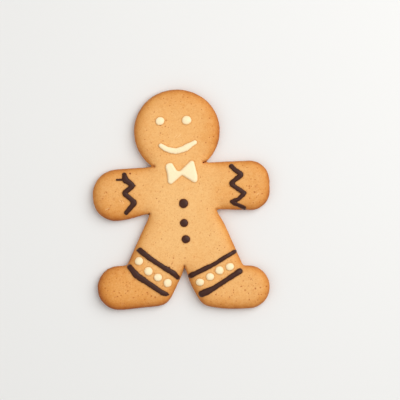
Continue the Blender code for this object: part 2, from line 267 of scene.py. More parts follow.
def shown(name, mesh, nodes, material):
    """Puts a finished mesh on the biscuit: it rides with it and stands for its CAD nodes."""
    piece = bpy.data.objects.new(name, mesh)
    bpy.context.scene.collection.objects.link(piece)
    mesh.materials.clear()
    mesh.materials.append(material)
    mesh.polygons.foreach_set("material_index", [0] * len(mesh.polygons))
    mesh.polygons.foreach_set("use_smooth", [True] * len(mesh.polygons))
    mesh.update()
    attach(piece, "root")
    if nodes:
        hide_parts(*nodes)
    return piece


def welded(node):
    """A copy of a CAD node's mesh with its loose triangles joined."""
    work = bmesh.new()
    work.from_mesh(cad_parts[node].data)
    bmesh.ops.remove_doubles(work, verts=work.verts, dist=WELD_GAP)
    mesh = bpy.data.meshes.new(node + "_welded")
    work.to_mesh(mesh)
    work.free()
    return mesh


def recast(mesh, cell, smoothing):
    """The same closed shape in even small faces, with its facets smoothed away."""
    maker = bpy.data.objects.new("maker", mesh)
    bpy.context.scene.collection.objects.link(maker)
    even = maker.modifiers.new("even", "REMESH")
    even.mode = "VOXEL"
    even.voxel_size = cell
    soft = maker.modifiers.new("soft", "SMOOTH")
    soft.factor = 0.5
    soft.iterations = smoothing
    bpy.context.view_layer.update()
    graph = bpy.context.evaluated_depsgraph_get()
    made = bpy.data.meshes.new_from_object(maker.evaluated_get(graph))
    bpy.data.objects.remove(maker)
    return made


def places(mesh):
    spots = np.empty(len(mesh.vertices) * 3)
    mesh.vertices.foreach_get("co", spots)
    return spots.reshape(-1, 3)


def put_places(mesh, spots):
    mesh.vertices.foreach_set("co", spots.ravel())
    mesh.update()


def directions(mesh):
    normals = np.empty(len(mesh.vertices) * 3)
    mesh.vertex_normals.foreach_get("vector", normals)
    return normals.reshape(-1, 3)


def ripple(spots, size, seed):
    """Smooth random numbers from about -1 to 1 over the points, with waves of this size."""
    shift = Vector((seed * 7.3, seed * 3.1, seed * 5.7))
    return np.array([noise.noise(Vector(spot) / size + shift) for spot in spots])


def keep(mesh, name, values):
    """Stores a number for each point of the mesh, for the finish to read."""
    mesh.attributes.new(name, "FLOAT", "POINT").data.foreach_set("value", values.astype(np.float32))


def tree_of(points):
    tree = KDTree(len(points))
    for number, point in enumerate(points):
        tree.insert(point, number)
    tree.balance()
    return tree


def step(low, high, values):
    share = np.clip((values - low) / (high - low), 0, 1)
    return share * share * (3 - 2 * share)


def beside(spots, x0, y0, x1, y1):
    """How far each point lies from a short line between two places given in mm, seen from above."""
    first = np.array((x0, y0)) * MM
    along = np.array((x1, y1)) * MM - first
    away = spots[:, :2] - first
    share = np.clip(away @ along / (along @ along), 0, 1)
    return np.hypot(*(away - share[:, None] * along).T)


crust_mesh = recast(welded("biscuit"), CRUST_CELL, CRUST_SMOOTHING)
crust_low, crust_high = (np.array(corner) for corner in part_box("biscuit"))
crust_top = crust_high[2]

# The pores: the ones that stand out, and small ones scattered over the hands, feet and head.
crust_spots = places(crust_mesh)
crust_normals = directions(crust_mesh)
draw = np.random.RandomState(PORE_SEED)
on_top = np.flatnonzero(crust_normals[:, 2] > LEVEL_TOP)
above_middle = (crust_spots[on_top, 1] / MM - BODY_MIDDLE) * BODY_HEIGHT_SHARE
reach_out = np.hypot(crust_spots[on_top, 0] / MM, above_middle)
chance = PORES_ON_BODY + step(PORES_FEW, PORES_MANY, reach_out)
chance *= np.where(crust_spots[on_top, 1] > HEAD_START, HEAD_PORE_SHARE, 1.0)
picked = draw.choice(on_top, PORES_SCATTERED, replace=False, p=chance / chance.sum())
pores = [(Vector((x * MM, y * MM, 0)), width * PORE_SPREAD * MM / 2) for x, y, width in PORES]
for spot in crust_spots[picked]:
    pores.append((Vector((spot[0], spot[1], 0)), draw.uniform(SMALL_PORE, MIDDLE_PORE) * MM))
pore_tree = tree_of([place for place, size in pores])

# Finer faces round each pore, so that it can be a real hole.
work = bmesh.new()
work.from_mesh(crust_mesh)
near = set()
for face in work.faces:
    middle = face.calc_center_median()
    if face.normal.z > TOP_FACE:
        place, number, away = pore_tree.find((middle.x, middle.y, 0))
        close = away < pores[number][1] * FINE_SHARE + FINE_MARGIN
        for x0, y0, x1, y1, half, depth in SLITS + SCRATCHES:
            aside = beside(np.array([[middle.x, middle.y]]), x0, y0, x1, y1)[0]
            close = close or aside < (half + FINE_BESIDE) * MM
        if close:
            near.update(face.edges)
bmesh.ops.subdivide_edges(work, edges=list(near), cuts=FINE_CUTS, use_grid_fill=True)
bmesh.ops.triangulate(work, faces=[face for face in work.faces if len(face.verts) > 4])
work.to_mesh(crust_mesh)
work.free()

crust_spots = places(crust_mesh)
crust_normals = directions(crust_mesh)

# How far each point lies inside the outline, read from the slab's widest ring.
outer = welded("biscuit")
ring = []
for edge in outer.edges:
    first, second = (outer.vertices[number] for number in edge.vertices)
    upright = abs(first.normal.z) < SIDE and abs(second.normal.z) < SIDE
    if upright and abs(first.co.z - second.co.z) < RING_SLOPE:
        count = max(1, round((first.co - second.co).length / RING_STEP))
        for number in range(count):
            point = first.co.lerp(second.co, number / count)
            ring.append(Vector((point.x, point.y, 0)))
ring_tree = tree_of(ring)
rim_away = np.array([ring_tree.find((x, y, 0))[2] for x, y, z in crust_spots])

# How open to the oven each place is: the share of what lies round it that is outside the slab.
# It is a half at a straight edge, more at a tip and little at a notch, where two limbs meet.
solid = BVHTree.FromPolygons([v.co for v in outer.vertices], [p.vertices for p in outer.polygons])
across = np.arange(crust_low[0] - GRID_MARGIN, crust_high[0] + GRID_MARGIN, GRID)
along = np.arange(crust_low[1] - GRID_MARGIN, crust_high[1] + GRID_MARGIN, GRID)
outside = np.array([
    [solid.ray_cast(Vector((x, y, 1)), Vector((0, 0, -1)))[0] is None for y in along] for x in across
]).astype(float)


def openness(blur):
    """The blurred share of outside at each point of the crust."""
    most = math.ceil(BELL_REACH * blur / GRID)
    steps = np.arange(-most, most + 1) * GRID
    bell = np.exp(-0.5 * (steps / blur) ** 2)
    bell /= bell.sum()
    blurred = np.apply_along_axis(lambda row: np.convolve(row, bell, "same"), 0, outside)
    blurred = np.apply_along_axis(lambda row: np.convolve(row, bell, "same"), 1, blurred)
    column = (crust_spots[:, 0] - across[0]) / GRID
    row = (crust_spots[:, 1] - along[0]) / GRID
    i, j = column.astype(int), row.astype(int)
    u, v = column - i, row - j
    near_row = blurred[i, j] * (1 - u) + blurred[i + 1, j] * u
    far_row = blurred[i, j + 1] * (1 - u) + blurred[i + 1, j + 1] * u
    return near_row * (1 - v) + far_row * v


# In a notch the dough stays full and flat right up to the slit, with only a small rounding.
straight_away = np.linspace(0, BELL_REACH * NOTCH_BLUR, NOTCH_STEPS)
straight_open = np.array([0.5 * math.erfc(away / NOTCH_BLUR / math.sqrt(2)) for away in straight_away])
like_away = np.interp(-openness(NOTCH_BLUR), -straight_open, straight_away)
full = np.interp(like_away / RIM_WIDTH, *zip(*RIM_PROFILE))
rounding = np.sqrt(1 - (1 - np.clip(rim_away / NOTCH_ROUNDING, 0, 1)) ** 2)
lifted = crust_top * (RING_HEIGHT + (full - RING_HEIGHT) * rounding)
upper_part = step(RING_HEIGHT * 0.9, RING_HEIGHT * 1.15, crust_spots[:, 2] / crust_top)
gain = np.clip(lifted - crust_spots[:, 2], 0, None) * upper_part
gain *= step(NOTCH_FROM, NOTCH_FULL, like_away - rim_away)
crust_spots[:, 2] += gain
put_places(crust_mesh, crust_spots)
crust_normals = directions(crust_mesh)

swell = ripple(crust_spots * (1, 1, 0.4), SWELL_SIZE, 1) * SWELL_HEIGHT
dimples = ripple(crust_spots, DIMPLE_SIZE, 2) * DIMPLE_HEIGHT
edge_wave = np.abs(ripple(crust_spots * (1, 1, 0.6), EDGE_WAVE_SIZE, 3)) * EDGE_WAVE_DEPTH
edge_wave += np.abs(ripple(crust_spots, EDGE_WAVE_SIZE * LONG_WAVE, 4)) * EDGE_WAVE_DEPTH
upward = np.clip(crust_normals[:, 2], 0, 1)
sideways = 1 - np.abs(crust_normals[:, 2])
relief = (swell + dimples) * upward - edge_wave * sideways

pore_and_slit_shade = np.zeros(len(crust_spots))
pore_depth = np.zeros(len(crust_spots))
for number, (x, y, z) in enumerate(crust_spots):
    if crust_normals[number, 2] > UPPER_SIDE:
        for place, which, away in pore_tree.find_range((x, y, 0), PORE_REACH):
            size = pores[which][1]
            uneven = 1 + PORE_RAGGED * noise.noise(Vector((x, y, which * MM)) / PORE_RAGGED_SIZE)
            share = 1 - min(1, max(0, away * uneven / size - PORE_FLOOR))
            darkness = 1 + BIG_PORE_DARKER * (size > BIG_PORE)
            pore_and_slit_shade[number] = max(pore_and_slit_shade[number], share * darkness)
            pore_depth[number] = max(pore_depth[number], share * min(PORE_DEEPEST, size * PORE_DEPTH_SHARE))
relief -= pore_depth

# Each slit is sunk into the crust and painted dark: partly brown crumbs, partly painted shade in the notch.
slit_drop = np.zeros(len(crust_spots))
faces_up = crust_normals[:, 2] > JUST_UP
for x0, y0, x1, y1, half, depth in SLITS:
    share = np.clip(1 - beside(crust_spots, x0, y0, x1, y1) / (half * MM), 0, 1) * faces_up
    slit_drop = np.maximum(slit_drop, np.sqrt(share) * depth * MM)
    pore_and_slit_shade = np.maximum(pore_and_slit_shade, step(0, 1, share) * min(SLIT_CRUMB_AND_SHADE_MOST, depth * SLIT_CRUMB_AND_SHADE))
scratched = np.zeros(len(crust_spots))
for x0, y0, x1, y1, half, depth in SCRATCHES:
    aside = beside(crust_spots, x0, y0, x1, y1) / (half * SCRATCH_FADE * MM)
    share = step(0, 1, 1 - aside) * faces_up
    relief -= share * depth * MM
    scratched = np.maximum(scratched, share)

crust_spots = crust_spots + crust_normals * relief[:, None]
crust_spots[:, :2] += crust_normals[:, :2] * (SPREAD * sideways)[:, None]
crust_spots[:, 2] -= np.minimum(slit_drop, np.clip(crust_spots[:, 2] - SLIT_FLOOR, 0, None))
tray_side = crust_normals[:, 2] < -SIDE
pits = np.clip(ripple(crust_spots, TRAY_PIT_SIZE, 5) - TRAY_PIT_START, 0, 1) * TRAY_PIT_DEPTH
crust_spots[:, 2] += np.where(tray_side, pits, 0)
crust_spots[:, :2] = np.clip(crust_spots[:, :2], crust_low[:2], crust_high[:2])
crust_spots[:, 2] = np.clip(crust_spots[:, 2], TABLE_GAP, None)
put_places(crust_mesh, crust_spots)

# The browning over the top, partly real and partly painted light and shade, from the table above.
browned = np.zeros(len(crust_spots))
for x, y, reach, amount in BROWNING_AND_PAINTED_LIGHT:
    away = np.hypot(crust_spots[:, 0] - x * MM, crust_spots[:, 1] - y * MM) / (reach * MM)
    browned += amount * np.exp(-away * away)
oven = openness(OVEN_NEAR) + openness(OVEN_FAR)
keep(crust_mesh, "rim", np.clip(oven, 0, OVEN_MOST))
keep(crust_mesh, "scratch", scratched)
keep(crust_mesh, "browned", np.clip(browned + BROWNED_START, 0, 1))
# The pore number also carries the dark of the slits, which is partly painted shade.
keep(crust_mesh, "pore", pore_and_slit_shade)
keep(crust_mesh, "tray", step(0.3, 0.9, -crust_normals[:, 2]))

crust_finish, grow = new_finish("baked_crust")
where = grow.node("ShaderNodeTexCoord").out("Object")


def cloud(size, detail, roughness=0.5):
    """Soft random patches of this size, 0 to 1."""
    return grow.node("ShaderNodeTexNoise", {}, {
        "Vector": where, "Scale": 1 / size, "Detail": detail, "Roughness": roughness,
    }).out("Fac")


def stored(name):
    return grow.node("ShaderNodeAttribute", {"attribute_name": name}).out("Fac")


rim = stored("rim")
baked = stored("browned")
pore = stored("pore")
tray = stored("tray")
patches = cloud(11 * MM, 2.0) - 0.5
mottle = cloud(2.4 * MM, 3.0, 0.6) - 0.5
grain = cloud(0.7 * MM, 2.0, 0.6) - 0.5
oven = rim + mottle * rim * 0.35
light_crust = grow.node("ShaderNodeValToRGB", {"stops": [
    (0.0, paint(238, 185, 117)), (0.16, paint(235, 178, 109)), (0.42, paint(231, 167, 90)),
    (0.72, paint(226, 153, 72)), (1.0, paint(215, 135, 55)),
]}, {"Fac": oven})
dark_crust = grow.node("ShaderNodeValToRGB", {"stops": [
    (0.0, paint(229, 161, 84)), (0.16, paint(221, 149, 70)), (0.42, paint(205, 126, 46)),
    (0.72, paint(185, 102, 28)), (1.0, paint(158, 80, 22)),
]}, {"Fac": oven})
# The browning attribute here is partly painted shade on the head and painted light on the body and the left
# hand's tip.
toast_and_painted_light = (baked + patches * 0.8 + mottle * 0.6).clamp()
colour = grow.mix(toast_and_painted_light, light_crust, dark_crust)
tray_brown = grow.mix((patches * 2.2 + mottle * 1.6 + 0.5).clamp(), paint(204, 134, 74), paint(150, 84, 40))
tray_ring = (0.62 - rim * 0.5 + mottle * 0.4).clamp()
tray_brown = grow.mix(tray_ring, paint(186, 112, 54), tray_brown)
colour = grow.mix(tray * 0.92, colour, tray_brown)
fleck_cells = grow.node("ShaderNodeTexVoronoi", {}, {"Vector": where, "Scale": 1 / (1.35 * MM)})
fleck_pick = grow.node("ShaderNodeSeparateColor", {}, {0: fleck_cells.out("Color")}).out(0)
flecks = ((0.33 - fleck_cells.out("Distance")) * 5.0).clamp() * ((fleck_pick - 0.3) * 2.0).clamp()
blot_cells = grow.node("ShaderNodeTexVoronoi", {}, {"Vector": where, "Scale": 1 / (3.1 * MM)})
blot_pick = grow.node("ShaderNodeSeparateColor", {}, {0: blot_cells.out("Color")}).out(1)
blots = ((0.30 - blot_cells.out("Distance")) * 4.0).clamp() * ((blot_pick - 0.35) * 3.0).clamp()
blots = blots * (baked * 1.2).clamp()
colour = grow.mix(flecks * 0.42, colour, paint(200, 114, 40))
colour = grow.mix(blots * 0.55, colour, paint(196, 110, 44))
colour = grow.mix(grain.clamp(), colour, paint(178, 104, 46))
pale = (grain * -1.0).clamp() * (1.0 - rim * 0.75).clamp()
colour = grow.mix(pale * 0.8, colour, paint(255, 212, 150))
colour = grow.mix((stored("scratch") * 0.45).clamp(), colour, paint(255, 214, 156))
# A darker ring round the icing: partly soaked-out fat, partly painted contact shadow.
colour = grow.mix((stored("touch") * 0.5).clamp(), colour, paint(186, 122, 58))
# Darker brown in the pores and in the slits, the slits partly brown crumbs and partly painted shade in the
# notches.
colour = grow.mix((pore * 0.8).clamp(), colour, paint(166, 72, 8))
colour = grow.mix(((pore - 1.0) * 1.8).clamp(), colour, paint(92, 42, 20))
crumb = cloud(0.5 * MM, 3.0, 0.65)
relief_height = crumb * 0.6 + mottle * 0.8 - flecks * 0.15 - blots * 0.3
bump = grow.node(
    "ShaderNodeBump", {}, {"Strength": 0.45, "Distance": 0.12 * MM, "Height": relief_height}
)
surface = grow.node("ShaderNodeBsdfPrincipled", {}, {
    "Base Color": colour,
    "Roughness": (0.72 + mottle * 0.2 + pore * 0.1).clamp(),
    "Normal": bump,
    "Specular IOR Level": 0.3,
})
grow.node("ShaderNodeOutputMaterial", {}, {"Surface": surface})

crust = shown("baked_gingerbread", crust_mesh, ["biscuit"], crust_finish)


# The white icing is thick royal icing, piped on the cooled biscuit. Drops make the eyes and the
# row of dots on each leg, a squeezed line makes the smile, and all of it sets to soft matt domes
# that hold on the crust by drying there.
DROP_HEIGHT = 0.95 * MM
DROP_SINK = 0.22 * MM
DROP_FACES = 5
DROP_FULL_LIFT = 0.85 * MM
FOOT_HEIGHT = 0.2 * MM
OVERHANG_HEIGHT = 4.6 * MM
RAY_START = 20 * MM
RAY_LENGTH = 30 * MM
LINE_SPACING = 0.3 * MM
LINE_CELL = 0.13 * MM
LINE_RISE = 0.8 * MM
LINE_SINK = 0.6 * MM
LINE_FULL_LIFT = 0.6 * MM
LINE_SMOOTHING = 6
LINE_SIDES = 20
LINE_BEND_POINTS = 6
LINE_END_FACES = 4
WHITE_DROPS = (
    ("eye_left", -9.45, 43.3, 4.75, 4.4, 25), ("eye_right", 4.9, 43.0, 5.2, 4.7, 0),
    ("dot_left_1", -24.7, -31.3, 4.6, 4.4, 40), ("dot_left_2", -19.9, -37.0, 4.6, 4.6, 0),
    ("dot_left_3", -14.9, -40.6, 4.5, 4.2, 0), ("dot_left_4", -9.9, -43.8, 4.4, 4.5, 0),
    ("dot_right_1", 7.5, -44.3, 4.6, 3.9, 0), ("dot_right_2", 13.1, -41.6, 4.4, 4.1, 0),
    ("dot_right_3", 18.3, -38.5, 4.6, 4.5, 0), ("dot_right_4", 24.05, -36.8, 4.6, 4.2, 0),
)
SMILE = (
    [(-9.7, 30.15, 2.3), (-7.2, 28.3, 2.9), (-4.6, 27.25, 3.1), (-2.0, 26.75, 3.2)],
    [(-0.6, 26.9, 3.2), (2.7, 27.7, 3.45), (5.3, 29.1, 3.2), (8.6, 30.85, 2.4)],
)
SMILE_BEND = 6.0 * MM
SMILE_WAVER = 0.25 * MM


def icing_finish(name, middle, edge, roughness, coat, waviness):
    """Set icing: one colour where it is thick, another where it thins out at its edge. On the white icing the
    bright middle is partly a painted highlight and the darker edge partly painted shade.
    """
    material, grow = new_finish(name)
    where = grow.node("ShaderNodeTexCoord").out("Object")
    lift = grow.node("ShaderNodeAttribute", {"attribute_name": "lift"}).out("Fac")
    cloudy = grow.node("ShaderNodeTexNoise", {}, {"Vector": where, "Scale": 1 / (1.4 * MM), "Detail": 2.0})
    fine = grow.node("ShaderNodeTexNoise", {}, {"Vector": where, "Scale": 1 / (0.35 * MM), "Detail": 2.0})
    thick = (lift + (cloudy.out("Fac") - 0.5) * 0.5).clamp()
    shade = grow.mix(thick, edge, middle)
    shade = grow.mix(((cloudy.out("Fac") - 0.5) * 0.8).clamp(), shade, edge)
    skin = cloudy.out("Fac") * waviness + fine.out("Fac") * 0.4
    bump = grow.node("ShaderNodeBump", {}, {"Strength": 0.3, "Distance": 0.05 * MM, "Height": skin})
    surface = grow.node("ShaderNodeBsdfPrincipled", {}, {
        "Base Color": shade,
        "Roughness": (roughness + (cloudy.out("Fac") - 0.5) * 0.25).clamp(),
        "Normal": bump,
        "Specular IOR Level": 0.22,
        "Coat Weight": coat,
        "Coat Roughness": 0.25,
    })
    grow.node("ShaderNodeOutputMaterial", {}, {"Surface": surface})
    return material


# The white icing's bright middle and creamier edge are partly its own colour and partly a painted highlight
# on the dome tops and painted shade round their sloping edges.
white_icing = icing_finish("white_icing", paint(254, 233, 192), paint(246, 208, 150), 0.42, 0.0, 1.0)


def shape_tree(name, sizes):
    """A Geometry Nodes tree with these named inputs, and the wire of its inputs."""
    tree = bpy.data.node_groups.new(name, "GeometryNodeTree")
    tree.interface.new_socket(name="Geometry", in_out="INPUT", socket_type="NodeSocketGeometry")
    for label, kind in sizes:
        tree.interface.new_socket(name=label, in_out="INPUT", socket_type="NodeSocket" + kind)
    tree.interface.new_socket(name="Geometry", in_out="OUTPUT", socket_type="NodeSocketGeometry")
    return Wire(tree).node("NodeGroupInput")


def end_tree(given, shape):
    real = given.node("GeometryNodeRealizeInstances", {}, {"Geometry": shape})
    dressed = given.node(
        "GeometryNodeSetMaterial", {}, {"Geometry": real, "Material": given.out("Icing")}
    )
    given.node("NodeGroupOutput", {}, {"Geometry": dressed})
    return given.tree


def grown(start, tree, sizes):
    """Runs a tree on a starting mesh with these sizes, and gives the plain mesh that comes out."""
    maker = bpy.data.objects.new("maker", start)
    bpy.context.scene.collection.objects.link(maker)
    shape = maker.modifiers.new("shape", "NODES")
    shape.node_group = tree
    for item in tree.interface.items_tree:
        if item.in_out == "INPUT" and item.name in sizes:
            shape[item.identifier] = sizes[item.name]
    bpy.context.view_layer.update()
    graph = bpy.context.evaluated_depsgraph_get()
    made = bpy.data.meshes.new_from_object(maker.evaluated_get(graph))
    bpy.data.objects.remove(maker)
    return made


def crust_under(given, position):
    """The height of the crust under each point."""
    biscuit = given.node(
        "GeometryNodeObjectInfo", {"transform_space": "ORIGINAL"}, {"Object": given.out("Biscuit")}
    )
    over = given.node("ShaderNodeVectorMath", {"operation": "MULTIPLY"}, {0: position, 1: (1, 1, 0)})
    over = given.node("ShaderNodeVectorMath", {"operation": "ADD"}, {0: over, 1: (0, 0, RAY_START)})
    ray = given.node("GeometryNodeRaycast", {}, {
        "Target Geometry": biscuit.out("Geometry"),
        "Source Position": over,
        "Ray Direction": (0, 0, -1),
        "Ray Length": RAY_LENGTH,
    })
    found = given.node("ShaderNodeSeparateXYZ", {}, {0: ray.out("Hit Position")}).out("Z")
    return given.node("GeometryNodeSwitch", {"input_type": "FLOAT"}, {
        "Switch": ray.out("Is Hit"), "False": OVERHANG_HEIGHT, "True": found,
    })


def parted(given, vector):
    apart = given.node("ShaderNodeSeparateXYZ", {}, {0: vector})
    return apart.out("X"), apart.out("Y"), apart.out("Z")


def joined(given, x, y, z):
    return given.node("ShaderNodeCombineXYZ", {}, {"X": x, "Y": y, "Z": z})


# One drop: a ball squashed to a dome, uneven all round, its foot following the crust.
drop = shape_tree("icing_drop", (
    ("Length", "Float"), ("Width", "Float"), ("Height", "Float"), ("Sink", "Float"),
    ("Turn", "Float"), ("Place", "Vector"), ("Seed", "Float"), ("Biscuit", "Object"), ("Icing", "Material"),
))
ball = drop.node("GeometryNodeMeshIcoSphere", {}, {"Radius": 1.0, "Subdivisions": DROP_FACES})
start = drop.node("GeometryNodeInputPosition")
lumps = drop.node("ShaderNodeTexNoise", {"noise_dimensions": "4D"}, {
    "Vector": start, "W": drop.out("Seed"), "Scale": 1.1, "Detail": 1.0,
}).out("Fac")
swollen = 1 + (lumps - 0.5) * 0.22
x, y, z = parted(drop, start)
flat = joined(drop, x * drop.out("Length") * 0.5 * swollen, y * drop.out("Width") * 0.5 * swollen, 0.0)
turned = drop.node(
    "ShaderNodeVectorRotate", {"rotation_type": "Z_AXIS"}, {"Vector": flat, "Angle": drop.out("Turn")}
)
moved = drop.node("ShaderNodeVectorMath", {"operation": "ADD"}, {0: turned, 1: drop.out("Place")})
up = drop.sum("MAXIMUM", z, 0.0) ** 0.85
down = drop.sum("MINIMUM", z, 0.0)
height = up * drop.out("Height") * (1 + (lumps - 0.5) * 0.3) + down * drop.out("Sink")
moved_x, moved_y, moved_z = parted(drop, moved)
standing = joined(drop, moved_x, moved_y, crust_under(drop, moved) + height)
dome = drop.node("GeometryNodeSetPosition", {}, {"Geometry": ball, "Position": standing})
drop_tree = end_tree(drop, dome)


crust_shape = BVHTree.FromPolygons(
    [v.co for v in crust_mesh.vertices], [p.vertices for p in crust_mesh.polygons]
)
icing_feet = []


def crust_height(x, y, beyond):
    """The height of the crust at this place, or the height given for where there is none."""
    hit = crust_shape.ray_cast(Vector((x, y, RAY_START)), Vector((0, 0, -1)))[0]
    return hit.z if hit else beyond


def icing_lift(mesh, full):
    """Stores how high each point of the icing stands over the crust, 1 at this full height."""
    lift = np.array([z - crust_height(x, y, z) for x, y, z in places(mesh)])
    foot = (lift > 0) & (lift < FOOT_HEIGHT)
    icing_feet.extend(places(mesh)[foot, :2])
    keep(mesh, "lift", np.clip(lift / full, 0, 1))


def pipe_drop(name, x, y, length, width, turn, icing):
    mesh = grown(bpy.data.meshes.new("start"), drop_tree, {
        "Length": length * MM, "Width": width * MM, "Height": DROP_HEIGHT, "Sink": DROP_SINK,
        "Turn": math.radians(turn), "Place": (x * MM, y * MM, 0.0), "Seed": x * 1.7 + y * 0.9,
        "Biscuit": crust, "Icing": icing,
    })
    icing_lift(mesh, DROP_FULL_LIFT)
    return shown(name + "_drop", mesh, [name], icing)


for name, x, y, length, width, turn in WHITE_DROPS:
    pipe_drop(name, x, y, length, width, turn, white_icing)


def one_shell(mesh):
    """Keeps the largest closed shell of the mesh, because casting can leave a stray one inside."""
    work = bmesh.new()
    work.from_mesh(mesh)
    left = set(work.verts)
    shells = []
    while left:
        waiting = [left.pop()]
        shell = []
        while waiting:
            point = waiting.pop()
            shell.append(point)
            for edge in point.link_edges:
                other = edge.other_vert(point)
                if other in left:
                    left.remove(other)
                    waiting.append(other)
        shells.append(shell)
    shells.sort(key=len)
    for shell in shells[:-1]:
        bmesh.ops.delete(work, geom=shell, context="VERTS")
    work.to_mesh(mesh)
    work.free()


# One piped line: a path with a width at each knot is rounded at its bends, swept with a dome-like
# section, given a ball at each end, roughened by the hand that piped it and laid on the crust.
line = shape_tree("icing_line", (
    ("Bend", "Float"), ("Spacing", "Float"), ("Rise", "Float"), ("Sink", "Float"), ("Waver", "Float"),
    ("Seed", "Float"), ("Biscuit", "Object"), ("Icing", "Material"),
))
path = line.node("GeometryNodeMeshToCurve", {}, {"Mesh": line.out("Geometry")})
half = line.node("GeometryNodeInputNamedAttribute", {"data_type": "FLOAT"}, {"Name": "half_width"})
path = line.node("GeometryNodeFilletCurve", {"mode": "POLY"}, {
    "Curve": path, "Count": LINE_BEND_POINTS, "Radius": line.out("Bend"), "Limit Radius": True,
})
path = line.node("GeometryNodeResampleCurve", {"mode": "LENGTH"}, {
    "Curve": path, "Length": line.out("Spacing"),
})
spot = line.node("GeometryNodeInputPosition")
squeeze = line.node("ShaderNodeTexNoise", {"noise_dimensions": "4D"}, {
    "Vector": spot, "W": line.out("Seed"), "Scale": 1 / (2.2 * MM), "Detail": 1.0,
}).out("Fac")
reach = half.out("Attribute") * (1 + (squeeze - 0.5) * 0.35)
path = line.node("GeometryNodeStoreNamedAttribute", {"data_type": "FLOAT", "domain": "POINT"}, {
    "Geometry": path, "Name": "reach", "Value": reach,
})
reach = line.node("GeometryNodeInputNamedAttribute", {"data_type": "FLOAT"}, {"Name": "reach"})
reach = reach.out("Attribute")
ring_curve = line.node("GeometryNodeCurvePrimitiveCircle", {}, {"Resolution": LINE_SIDES, "Radius": 1.0})
tube = line.node("GeometryNodeCurveToMesh", {}, {
    "Curve": path, "Profile Curve": ring_curve.out("Curve"), "Scale": reach, "Fill Caps": True,
})
tip = line.node("GeometryNodeMeshIcoSphere", {}, {"Radius": 1.0, "Subdivisions": LINE_END_FACES})
ends = line.node("GeometryNodeInstanceOnPoints", {}, {
    "Points": path,
    "Selection": line.node("GeometryNodeCurveEndpointSelection", {}, {"Start Size": 1, "End Size": 1}),
    "Instance": tip,
    "Scale": reach,
})
ends = line.node("GeometryNodeRealizeInstances", {}, {"Geometry": ends})
body = line.node("GeometryNodeJoinGeometry", {}, {"Geometry": [tube, ends]})
tremble = line.node("ShaderNodeTexNoise", {"noise_dimensions": "4D"}, {
    "Vector": spot, "W": line.out("Seed") + 5.0, "Scale": 1 / (1.3 * MM), "Detail": 1.0,
}).out("Color")
tremble = line.node("ShaderNodeVectorMath", {"operation": "SUBTRACT"}, {0: tremble, 1: (0.5, 0.5, 0.5)})
tremble = line.node("ShaderNodeVectorMath", {"operation": "SCALE"}, {0: tremble, "Scale": line.out("Waver")})
tremble = line.node("ShaderNodeVectorMath", {"operation": "MULTIPLY"}, {0: tremble, 1: (1, 1, 0)})
wavy = line.node("ShaderNodeVectorMath", {"operation": "ADD"}, {0: spot, 1: tremble})
x, y, z = parted(line, wavy)
turn_up = line.sum("MAXIMUM", z / reach, 0.0)
turn_down = line.sum("MINIMUM", z / reach, 0.0)
crown = (reach * line.out("Rise")) ** 0.5
height = crown * turn_up * (1.25 - turn_up * turn_up * 0.25) + turn_down * line.out("Sink")
standing = joined(line, x, y, crust_under(line, wavy) + height)
laid = line.node("GeometryNodeSetPosition", {}, {"Geometry": body, "Position": standing})
line_tree = end_tree(line, laid)


def pipe_line(name, strokes, bend, waver, icing):
    """Pipes one or more strokes, each a row of knots with a width in mm, that set as one piece."""
    start = bpy.data.meshes.new("start")
    knots, links, widths = [], [], []
    for stroke in strokes:
        for number, (x, y, width) in enumerate(stroke):
            if number:
                links.append((len(knots) - 1, len(knots)))
            knots.append((x * MM, y * MM, 0))
            widths.append(width * MM / 2)
    start.from_pydata(knots, links, [])
    keep(start, "half_width", np.array(widths))
    mesh = grown(start, line_tree, {
        "Bend": bend, "Spacing": LINE_SPACING, "Rise": LINE_RISE, "Sink": LINE_SINK, "Waver": waver,
        "Seed": float(len(name)) + strokes[0][0][0], "Biscuit": crust, "Icing": icing,
    })
    mesh = recast(mesh, LINE_CELL, LINE_SMOOTHING)
    one_shell(mesh)
    icing_lift(mesh, LINE_FULL_LIFT)
    return shown(name + "_line", mesh, [name], icing)


pipe_line("smile", SMILE, SMILE_BEND, SMILE_WAVER, white_icing)


# The bow tie is the same white icing, but flooded: an outline is piped at the neck and filled
# while wet, so it sets as one puffed pad with a rounded edge.
BOW_CELL = 0.15 * MM
BOW_EDGE = 1.5 * MM
BOW_HEIGHT = 1.08 * MM
BOW_FOOT = 0.25 * MM
BOW_PUFF_SIZE = 4.0 * MM
BOW_PUFF_HEIGHT = 0.12
BOW_RIM = 0.25
BOW_SIDE = 0.35
BOW_SPREAD = 0.07 * MM
BOW_SMOOTHING = 5

bow_mesh = recast(welded("bow_tie"), BOW_CELL, BOW_SMOOTHING)
bow_spots = places(bow_mesh)
bow_normals = directions(bow_mesh)
bow_low, bow_high = bow_spots[:, 2].min(), bow_spots[:, 2].max()
bow_spots[:, :2] += bow_normals[:, :2] * BOW_SPREAD
bow_sides = bow_spots[np.abs(bow_normals[:, 2]) < BOW_SIDE]
bow_outline = tree_of([Vector((x, y, 0)) for x, y, z in bow_sides])
bow_inset = np.array([bow_outline.find((x, y, 0))[2] for x, y, z in bow_spots])
puffs = ripple(bow_spots * (1, 1, 0), BOW_PUFF_SIZE, 6) * BOW_PUFF_HEIGHT
crest = np.clip(bow_inset / BOW_EDGE, 0, 1)
crest = BOW_RIM + (1 - BOW_RIM) * np.sqrt(1 - (1 - crest) ** 2) + puffs * crest
share = np.clip((bow_spots[:, 2] - bow_low) / (bow_high - bow_low), 0, 1)
ground = np.array([crust_height(x, y, crust_top) for x, y, z in bow_spots])
bow_spots[:, 2] = ground - BOW_FOOT + (BOW_HEIGHT * crest + BOW_FOOT) * share
put_places(bow_mesh, bow_spots)
icing_lift(bow_mesh, LINE_FULL_LIFT)
shown("bow_tie_icing", bow_mesh, ["bow_tie"], white_icing)


